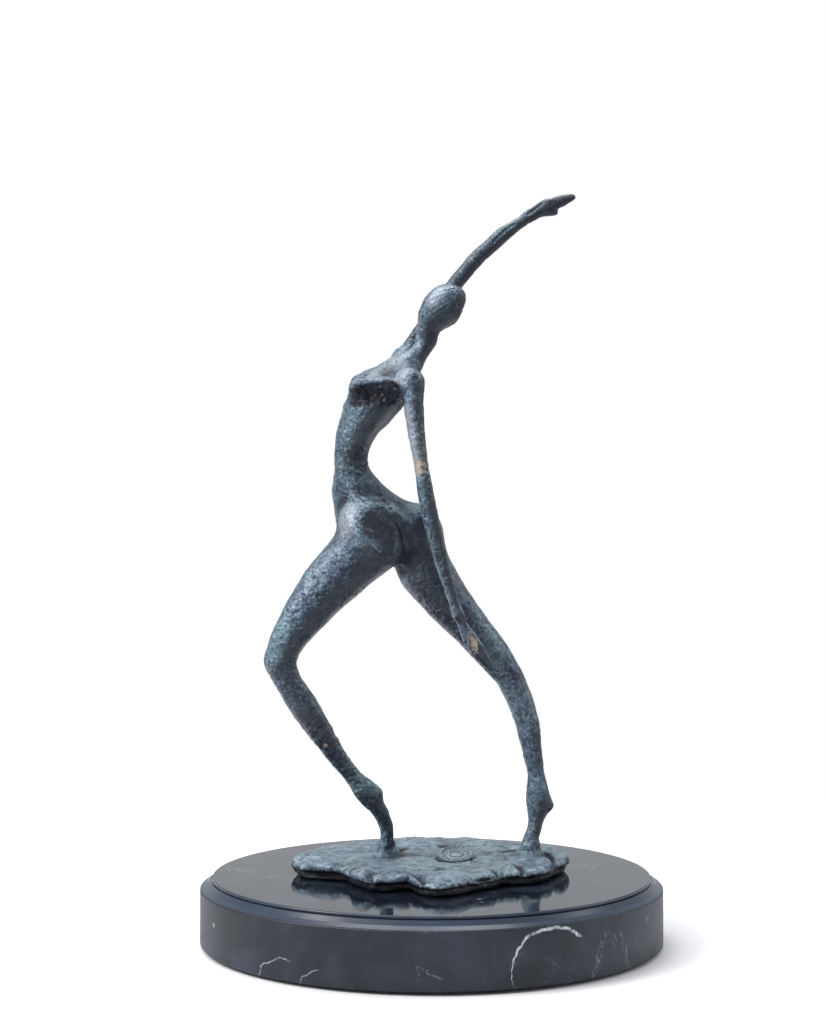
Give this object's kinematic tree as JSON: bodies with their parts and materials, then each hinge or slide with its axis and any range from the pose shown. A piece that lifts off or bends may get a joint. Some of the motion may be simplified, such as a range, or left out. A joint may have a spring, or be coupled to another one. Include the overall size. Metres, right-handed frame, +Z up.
{
  "type": "bronze statuette",
  "caption": "Slender dancing figure in patinated bronze on a modelled ground, arched back with an arm raised, mounted on a round stepped marble base.",
  "frame": {"origin": "centre of the round base, on the underside of the felt pads", "axes": "+Z up, the side first seen in the picture is -Y, the raised hand reaches towards +X"},
  "size_m": [0.227, 0.227, 0.3768],
  "materials": {
    "patinated_bronze": "blue-green and dark patina, waxed, with worn high spots",
    "seal_bronze": "lighter verdigris patina",
    "raw_bronze": "bare turned bronze, hidden inside the joints",
    "marble": "black marble with fine white veins, satin side and polished top",
    "zinc_steel": "bright zinc plating",
    "rubber": "matt black",
    "felt": "black felt"
  },
  "bodies": {
    "root": {"felt_pads": "felt", "marble_base": "marble", "base_nuts": "zinc_steel", "base_washers": "zinc_steel", "cushion_washers": "rubber", "base_studs": "zinc_steel", "ground_plate": "patinated_bronze", "foundry_seal": "seal_bronze", "left_foot_pin": "raw_bronze", "right_foot_pin": "raw_bronze", "left_leg": "patinated_bronze", "right_leg": "patinated_bronze", "left_hip_pin": "raw_bronze", "right_hip_pin": "raw_bronze", "torso": "patinated_bronze", "neck_pin": "raw_bronze", "head": "patinated_bronze", "left_shoulder_pin": "raw_bronze", "right_shoulder_pin": "raw_bronze", "left_arm": "patinated_bronze", "right_arm": "patinated_bronze"}
  },
  "joints": []
}
